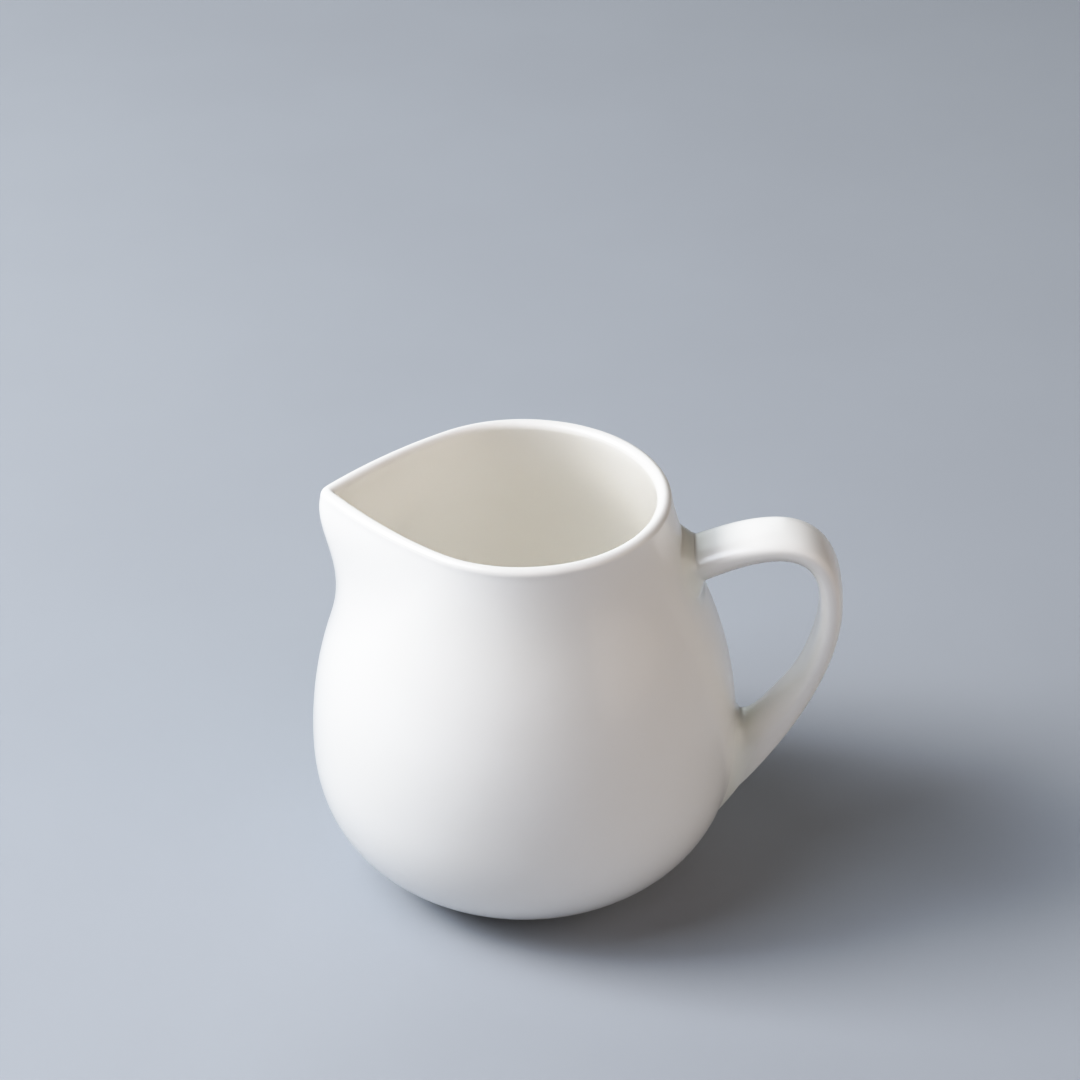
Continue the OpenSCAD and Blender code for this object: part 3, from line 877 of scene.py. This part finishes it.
def stored(tree, name):
    node = put(tree, "GeometryNodeInputNamedAttribute", {"Name": name}, data_type="FLOAT_VECTOR")
    return node.outputs["Attribute"]


def scaled(tree, vector, factor):
    node = put(tree, "ShaderNodeVectorMath", {0: vector}, operation="SCALE")
    tree.links.new(factor, node.inputs["Scale"])
    return node.outputs[0]


def added(tree, *vectors):
    total = vectors[0]
    for vector in vectors[1:]:
        total = put(tree, "ShaderNodeVectorMath", {0: total, 1: vector}).outputs[0]
    return total


def finish_tree(tree, geometry, finish, result):
    """Makes the geometry real, gives it its finish and puts it out."""
    real = put(tree, "GeometryNodeRealizeInstances", {0: geometry})
    painted = put(tree, "GeometryNodeSetMaterial",
                  {"Geometry": real.outputs[0], "Material": finish})
    wire(tree, painted.outputs[0], result.inputs[0])
    print("tree", tree.name, "with", len(tree.nodes), "nodes")


# %% Tree: where each point goes
path = given.outputs["Path"]
here = put(ring_tree, "GeometryNodeInputPosition").outputs[0]
shape = put(ring_tree, "GeometryNodeObjectInfo", {"Object": given.outputs["Section"]})
on_section = put(ring_tree, "ShaderNodeSeparateXYZ",
                 {0: look_up(ring_tree, shape.outputs["Geometry"], here, point_no)})
u = calc(ring_tree, "MULTIPLY", on_section.outputs["X"], on_ring)
v = calc(ring_tree, "MULTIPLY", on_section.outputs["Y"], on_ring)
web_v = calc(ring_tree, "MINIMUM", v, 0)
spot = added(ring_tree, look_up(ring_tree, path, here, ring_no),
             scaled(ring_tree, look_up(ring_tree, path, stored(ring_tree, "wide"), ring_no), u),
             scaled(ring_tree, look_up(ring_tree, path, stored(ring_tree, "deep"), ring_no), v),
             scaled(ring_tree, look_up(ring_tree, path, stored(ring_tree, "web"), ring_no), web_v))

moved = put(ring_tree, "GeometryNodeSetPosition",
            {"Geometry": cells.outputs["Mesh"], "Position": spot})
finish_tree(ring_tree, moved.outputs[0], given.outputs["Finish"], result)


# %% Running a tree
def grown(name, tree, points, attributes, settings, closed=False):
    """Runs a tree on a path in mm and returns an object with the plain mesh it made."""
    count = len(points)
    edges = [(k, (k + 1) % count) for k in range(count if closed else count - 1)]
    seed = bpy.data.meshes.new(name)
    seed.from_pydata((np.asarray(points, float) * MM).tolist(), edges, [])
    for title, vectors in attributes.items():
        layer = seed.attributes.new(title, "FLOAT_VECTOR", "POINT")
        layer.data.foreach_set("vector", (np.asarray(vectors, float) * MM).ravel())
    obj = linked(name, seed)
    modifier = obj.modifiers.new("tree", "NODES")
    modifier.node_group = tree
    for socket in tree.interface.items_tree:
        if socket.name in settings:
            modifier[socket.identifier] = settings[socket.name]
    graph = bpy.context.evaluated_depsgraph_get()
    mesh = bpy.data.meshes.new_from_object(obj.evaluated_get(graph))
    obj.modifiers.remove(modifier)
    obj.data = mesh
    mesh.name = name
    bpy.data.meshes.remove(seed)
    return obj


def section_object(name, points):
    """A closed loop without size, whose points a tree looks up."""
    mesh = bpy.data.meshes.new(name)
    mesh.from_pydata([(*p, 0) for p in points], [], [])
    return linked(name, mesh)


# %% [markdown]
# ## The strap
# The strap is pressed or cast on its own and cut to length. Its section is a rectangle with
# much rounded corners. The tree gets the handle's path from its lower end to its upper end, so
# that the faces point outwards.

# %% Clay strap
strap_section = section_object("strap_section", np.stack([section_u, section_v], -1))
centre = np.stack([strap_line[:, 0], 0 * strap_share, strap_line[:, 1]], -1)
outward = strap_axis * strap_half[:, None]
deepening = strap_line - inner_edge - outward
deep = np.stack([outward[:, 0], 0 * strap_share, outward[:, 1]], -1)
web = np.stack([deepening[:, 0], 0 * strap_share, deepening[:, 1]], -1)
wide = np.tile([0, handle_w / 2 - glaze_t, 0], (len(centre), 1))
clay_strap = grown("clay_strap", ring_tree, centre[::-1],
                   {"wide": wide, "deep": deep[::-1], "web": web[::-1]},
                   {"Section": strap_section, "Points in Section": around,
                    "Rings": len(centre), "Finish": biscuit})
bpy.data.objects.remove(strap_section)
hand_over(clay_strap, ["handle"])

# %% [markdown]
# ## The slip at the two roots
# The strap is stuck to the pot with slip, and the extra that squeezes out is smoothed with a
# damp finger. That leaves a bead that runs from the strap's end out onto the wall. Its rings
# bend on their way, so they come straight from the list of rings above, with a fan on each end.


# %% Slip beads
def bead(name, rings, first_middle, last_middle):
    rings = np.array(rings)
    n = rings.shape[1]
    faces = []
    for r in range(len(rings) - 1):
        faces += band(r * n, (r + 1) * n, n)
    tip = len(rings) * n
    for c in range(n):
        d = (c + 1) % n
        faces.append((tip, d, c))
        faces.append((tip + 1, tip - n + c, tip - n + d))
    points = np.concatenate([rings.reshape(-1, 3), [first_middle], [last_middle]])
    return sewn_piece(name, points, faces, slip_clay)


upper_bead = bead("slip_at_upper_root",
                  [root_ring(outside_clay, upper_mid, 1)] + upper_slip[::-1] + [strap_rings[0]],
                  outside_clay[upper_mid, 0], centre[0])
lower_bead = bead("slip_at_lower_root",
                  [strap_rings[-1]] + lower_slip + [root_ring(outside_clay, lower_mid, -1)],
                  centre[-1], outside_clay[lower_mid, 0])
hand_over(upper_bead, ["upper_handle_joint"])
hand_over(lower_bead, ["lower_handle_joint"])

# %% [markdown]
# ## The standing ring
# The foot is turned on the wheel: a low ring with softened edges, wiped clean of glaze so that
# it doesn't stick to the kiln shelf. It goes once round the axis, which is a second small tree:
# a grid whose one side counts the steps round the axis and whose other side counts the points
# of a closed profile, rolled up and merged where its edges meet.

# %% Tree: turned ring
wheel, given, result = empty_tree(
    "turned_ring", "GeometryNodeTree",
    [("Profile", "NodeSocketGeometry", None), ("Points in Profile", "NodeSocketInt", 24),
     ("Steps", "NodeSocketInt", 96), ("Finish", "NodeSocketMaterial", None)],
    [("Piece", "NodeSocketGeometry")])
steps_n, profile_n = given.outputs["Steps"], given.outputs["Points in Profile"]
sheet_y = calc(wheel, "ADD", profile_n, 1)
sheet = put(wheel, "GeometryNodeMeshGrid",
            {"Vertices X": calc(wheel, "ADD", steps_n, 1), "Vertices Y": sheet_y})
index = put(wheel, "GeometryNodeInputIndex").outputs[0]
step = calc(wheel, "MODULO", calc(wheel, "FLOOR", calc(wheel, "DIVIDE", index, sheet_y)), steps_n)
angle = calc(wheel, "MULTIPLY", calc(wheel, "DIVIDE", step, steps_n), 2 * math.pi)
profile_no = calc(wheel, "MODULO", calc(wheel, "MODULO", index, sheet_y), profile_n)
here = put(wheel, "GeometryNodeInputPosition").outputs[0]
cut = put(wheel, "ShaderNodeSeparateXYZ",
          {0: look_up(wheel, given.outputs["Profile"], here, profile_no)})
spot = put(wheel, "ShaderNodeCombineXYZ",
           {"X": calc(wheel, "MULTIPLY", cut.outputs["X"], calc(wheel, "COSINE", angle)),
            "Y": calc(wheel, "MULTIPLY", cut.outputs["X"], calc(wheel, "SINE", angle)),
            "Z": cut.outputs["Z"]})
rolled = put(wheel, "GeometryNodeSetPosition",
             {"Geometry": sheet.outputs["Mesh"], "Position": spot.outputs[0]})
merged = put(wheel, "GeometryNodeMergeByDistance",
             {"Geometry": rolled.outputs[0], "Distance": tiny})
finish_tree(wheel, merged.outputs[0], given.outputs["Finish"], result)

# %% Standing ring
turn_steps = 192
foot_step, foot_w, foot_round, foot_embed = 0.6, 2.6, 0.5, 0.6
ring_out_r = foot_r - foot_step
ring_in_r = ring_out_r - foot_w
arc = np.array([foot_round * heading(a) for a in range(0, 91, 10)])
ring_top = underside_z + foot_embed
profile = ([(ring_in_r, 0, ring_top)]
           + [(ring_in_r + foot_round - x, 0, foot_round - z) for x, z in arc]
           + [(ring_out_r - foot_round + x, 0, foot_round - z) for x, z in arc[::-1]]
           + [(ring_out_r, 0, ring_top)])
standing_ring = grown("standing_ring", wheel, profile, {},
                      {"Points in Profile": len(profile), "Steps": turn_steps,
                       "Finish": biscuit}, closed=True)
hand_over(standing_ring, [])

# %% [markdown]
# ## Glaze in the recess
# The floor inside the ring is glazed, because the jug was dipped and only the ring was wiped.
# Before it set, the glaze drew up into the corner as liquids do, in a meniscus. It is a circle
# that follows the axis, so the first tree makes it.

# %% Recess glaze
draw_up, edge_share = 0.45, 0.4
low_z = underside_z - glaze_t
bent = [math.radians(a) for a in range(0, 76, 15)]
meniscus = [(ring_in_r - draw_up * (1 - math.sin(a)), low_z - draw_up * (1 - math.cos(a)))
            for a in bent]
recess_profile = ([(r, underside_z) for r in (6, 12, ring_in_r)]
                  + [(ring_in_r, low_z - edge_share * draw_up)] + meniscus[::-1]
                  + [(r, low_z) for r in (15, 12, 9, 6, 3)])
circle_section = section_object("circle_section",
                                [heading(360 * k / turn_steps) for k in range(turn_steps)])
reach = [r for r, z in recess_profile]
recess_glaze = grown("recess_glaze", ring_tree, [(0, 0, z) for r, z in recess_profile],
                     {"wide": [(r, 0, 0) for r in reach], "deep": [(0, r, 0) for r in reach],
                      "web": [(0, 0, 0) for r in reach]},
                     {"Section": circle_section, "Points in Section": turn_steps,
                      "Rings": len(reach), "Finish": glazed})
bpy.data.objects.remove(circle_section)
hand_over(recess_glaze, ["underside_glaze"])

# %% [markdown]
# ## The glaze coat
# The pot and its handle are glazed together by dipping, after they have been joined, so the
# glaze is one skin without a seam: up the outside, round both roots of the handle, over the
# lip and down the inside. It has a thickness, so it is two skins, sewn together along the foot
# where it was wiped off. A Solidify modifier can't do this, because the skin's two sides must
# meet clay and slip point for point.


# %% Helpers for a skin of the glaze
def window_cols(ring):
    """Columns of a row of cells that lie inside a handle root."""
    inside = any(m - root_rows <= ring < m + root_rows for m in (upper_mid, lower_mid))
    return set(range(root_cols)) | set(range(cols - root_cols, cols)) if inside else set()


def sewn_rings(starts, flip):
    """Cells between rings that are each a list of indices."""
    faces = []
    for a, b in zip(starts[:-1], starts[1:]):
        for c in range(around):
            d = (c + 1) % around
            cell = (int(a[c]), int(a[d]), int(b[d]), int(b[c]))
            faces.append(cell[::-1] if flip else cell)
    return faces


print("a root leaves out", len(window_cols(upper_mid)), "cells of a row")


# %% One skin of the glaze
def jug_skin(outside, handle_path, inside, first, flip):
    """A whole skin of the jug: outside with the handle sewn in, over the lip, inside."""
    faces = []
    for r in range(n_rings - 1):
        faces += band(first + r * cols, first + (r + 1) * cols, cols, flip, window_cols(r))
    base = first + n_rings * cols
    strap_part = handle_path[1:-1]
    starts = ([first + root_index(upper_mid, 1)]
              + [base + k * around + np.arange(around) for k in range(len(strap_part))]
              + [first + root_index(lower_mid, -1)])
    faces += sewn_rings(starts, flip)
    base += len(strap_part) * around
    inner_points, inner_faces = inner_wall(inside, base, first + (n_rings - 1) * cols, flip)
    points = [outside.reshape(-1, 3), strap_part.reshape(-1, 3), inner_points]
    return np.concatenate(points), faces + inner_faces


# %% Glaze coat
coat_points, coat_faces = jug_skin(outside_glaze, handle_coat, inside_glaze, 0, False)
under_points, under_faces = jug_skin(outside_clay, np.array(handle_clay), inside_clay,
                                     len(coat_points), True)
wiped_edge = band(len(coat_points), 0, cols)
glaze_coat = sewn_piece("glaze_coat", np.concatenate([coat_points, under_points]),
                        coat_faces + under_faces + wiped_edge, glazed)
print("glaze coat of", len(glaze_coat.data.polygons), "faces")

# %% [markdown]
# ### Where the glaze pooled
# Glaze runs into creases while it is molten. The two deepest creases are the rings where the
# strap ends and the slip begins. Each point of the coat gets a number that is one in a crease
# and fades to nothing a few millimetres away, and the glaze's material reads it by name.

# %% Pooled glaze
pool_reach = 2.6
mid_slip = len(stations) // 2
creases = np.concatenate([upper_slip[mid_slip], lower_slip[mid_slip]])
all_points = np.concatenate([coat_points, under_points])
away = np.full(len(all_points), np.inf)
for crease_point in creases:
    away = np.minimum(away, ((all_points - crease_point) ** 2).sum(-1))
pooled_share = np.exp(-away / pool_reach ** 2)
glaze_coat.data.attributes.new("pooled", "FLOAT", "POINT").data.foreach_set("value", pooled_share)
hand_over(glaze_coat, ["outer_glaze", "inner_glaze", "handle_glaze"])
print("points in a crease:", int((pooled_share > 0.5).sum()))

# %% [markdown]
# ## Floor, light and camera
# A small white jug on pale paper shows its form only through shade, so the light must come
# from one side. Two softboxes at the left do nearly all the work, as the two panes of one
# window: the lower is small and warm and gives the shadow its edge, the higher is larger and
# cooler and softens it. Three weak panels stand for the room. They keep the shaded side and the
# handle readable, and they are a little warmer than the window. The panels stand back far
# enough to clear the floor wherever a camera looks. A pale room closes the picture behind them.

# %% Floor
floor_half = 3.0
floor_mesh = bpy.data.meshes.new("floor")
floor_mesh.from_pydata([(-floor_half, -floor_half, 0), (floor_half, -floor_half, 0),
                        (floor_half, floor_half, 0), (-floor_half, floor_half, 0)], [],
                       [(0, 1, 2, 3)])
floor_mesh.materials.append(paper)
floor = linked("floor", floor_mesh)
print("floor of", 2 * floor_half, "m")


# %% Softboxes
jug_middle = Vector((0, 0, 0.03))


def softbox(name, azimuth, elevation, distance, size, power, colour):
    """A square panel that faces the jug; azimuth turns from the handle's side to the back."""
    lamp = bpy.data.lights.new(name, "AREA")
    lamp.shape = "SQUARE"
    lamp.size = size
    lamp.energy = power
    lamp.color = colour
    obj = linked(name, lamp)
    flat = distance * math.cos(math.radians(elevation))
    obj.location = (flat * math.cos(math.radians(azimuth)),
                    flat * math.sin(math.radians(azimuth)),
                    distance * math.sin(math.radians(elevation)))
    obj.rotation_euler = (jug_middle - obj.location).to_track_quat("-Z", "Y").to_euler()


softbox("window_low", 181, 40, 1.0, 0.4, 7.2, (1.0, 0.975, 0.96))
softbox("window_high", 191, 51, 0.8, 0.6, 5.4, (0.83, 0.9, 1.0))
softbox("right_panel", -15, 14, 2.0, 2.4, 15.2, (1.0, 0.88, 0.74))
softbox("back_panel", 110, 12, 1.8, 1.8, 12.0, (0.9, 0.98, 1.0))
softbox("front_panel", 300, 40, 1.2, 1.2, 2.2, (1.0, 0.86, 0.86))

# %% Room
room = bpy.data.worlds.new("room")
bpy.context.scene.world = room
room.use_nodes = True
tree = room.node_tree
tree.nodes.clear()
seen = put(tree, "ShaderNodeBackground", {"Color": (0.42, 0.45, 0.49, 1), "Strength": 1.0})
lit = put(tree, "ShaderNodeBackground", {"Color": (0.9, 0.94, 1.0, 1), "Strength": 0.02})
choice = put(tree, "ShaderNodeMixShader", {0: put(tree, "ShaderNodeLightPath").outputs[0]})
tree.links.new(lit.outputs[0], choice.inputs[1])
tree.links.new(seen.outputs[0], choice.inputs[2])
tree.links.new(choice.outputs[0], put(tree, "ShaderNodeOutputWorld").inputs[0])
print("lamps:", [lamp.name for lamp in bpy.data.lights])

# %% [markdown]
# ### Tones of the picture
# White porcelain in window light is brighter than a picture can show. A plain display cuts
# those tones off, and the lit side of the belly turns into one flat patch. Like film, this
# curve leaves the middle tones alone, bends the brightest ones over gently, and deepens the
# shadows a little. The inside of the pot is lit by light that bounces from wall to wall many
# times, so the paths of light may bounce more often than usual before they stop.

# %% Tones of the picture
picture = bpy.context.scene.view_settings
picture.view_transform = "Standard"
picture.use_curve_mapping = True
brightest = 1.5
picture.curve_mapping.white_level = (brightest, brightest, brightest)
tone_curve = picture.curve_mapping.curves[3].points
for light, shown in ((0.05, 0.035), (0.11, 0.082), (0.2, 0.17), (0.3, 0.29), (0.4, 0.4),
                     (0.6, 0.6), (0.8, 0.77), (1.0, 0.89), (1.2, 0.96)):
    tone_curve.new(light / brightest, shown)
picture.curve_mapping.update()
bpy.context.scene.cycles.diffuse_bounces = 12
print("tone curve of", len(tone_curve), "points up to", brightest)

# %% Camera
camera = bpy.data.cameras.new("camera")
camera.sensor_width = 36
camera.lens = 119.97
camera.clip_start, camera.clip_end = 0.01, 20
eye = linked("camera", camera)
bpy.context.scene.camera = eye
target = Vector((0.002537, 0.000079, 0.060889))
elevation, turn, distance = math.radians(37.246), math.radians(1.789), 0.61223
back = Vector((math.sin(turn) * math.cos(elevation), -math.cos(turn) * math.cos(elevation),
               math.sin(elevation)))
eye.location = back * distance
eye.rotation_mode = "QUATERNION"
eye.rotation_quaternion = (target - eye.location).to_track_quat("-Z", "Y")
print("camera at", [round(x, 3) for x in eye.location])
